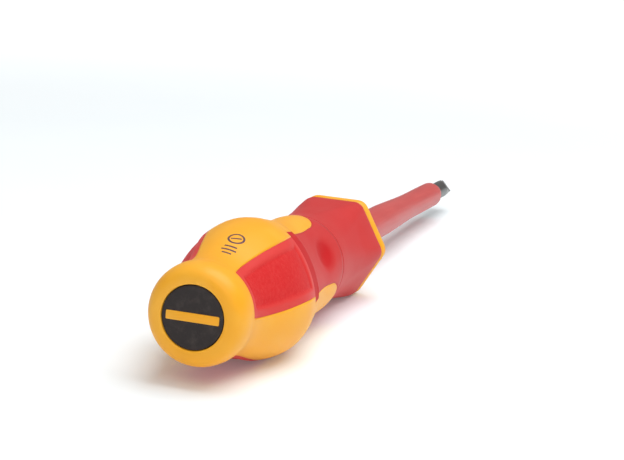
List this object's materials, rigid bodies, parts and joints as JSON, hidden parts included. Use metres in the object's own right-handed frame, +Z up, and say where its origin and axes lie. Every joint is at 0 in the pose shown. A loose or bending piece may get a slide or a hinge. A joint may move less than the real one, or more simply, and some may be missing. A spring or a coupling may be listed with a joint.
{
  "type": "insulated screwdriver",
  "caption": "Insulated slotted screwdriver with a lobed two-colour handle, soft grip panels, a hexagonal anti-roll guard and a sleeved blade.",
  "frame": {"origin": "under the middle of the tool, on the lowest line of the handle's belly", "axes": "+X along the tool's centre line from the handle's end to the tip, +Z up, with one flat of the guard facing down"},
  "size_m": [0.235, 0.0354, 0.0348],
  "materials": {
    "steel": "satin black-nickel chrome-vanadium steel, ground bright at the tip",
    "insulation_red": "smooth semi-gloss moulded insulation",
    "core_black": "plain moulded",
    "body_yellow": "semi-gloss moulded polypropylene",
    "panel_red": "soft elastomer with a finely grained sunken field",
    "grip_red": "soft satin elastomer",
    "guard_red": "soft satin elastomer with a faint moulded grain",
    "disc_black": "satin moulded",
    "symbol_yellow": "semi-gloss moulded"
  },
  "bodies": {
    "root": {"blade": "steel", "blade_insulation": "insulation_red", "inner_core": "core_black", "handle_body": "body_yellow", "grip_panel_right": "panel_red", "grip_panel_bottom": "panel_red", "grip_panel_left": "panel_red", "front_grip": "grip_red", "guard": "guard_red", "end_disc": "disc_black", "slot_symbol": "symbol_yellow"}
  },
  "joints": []
}
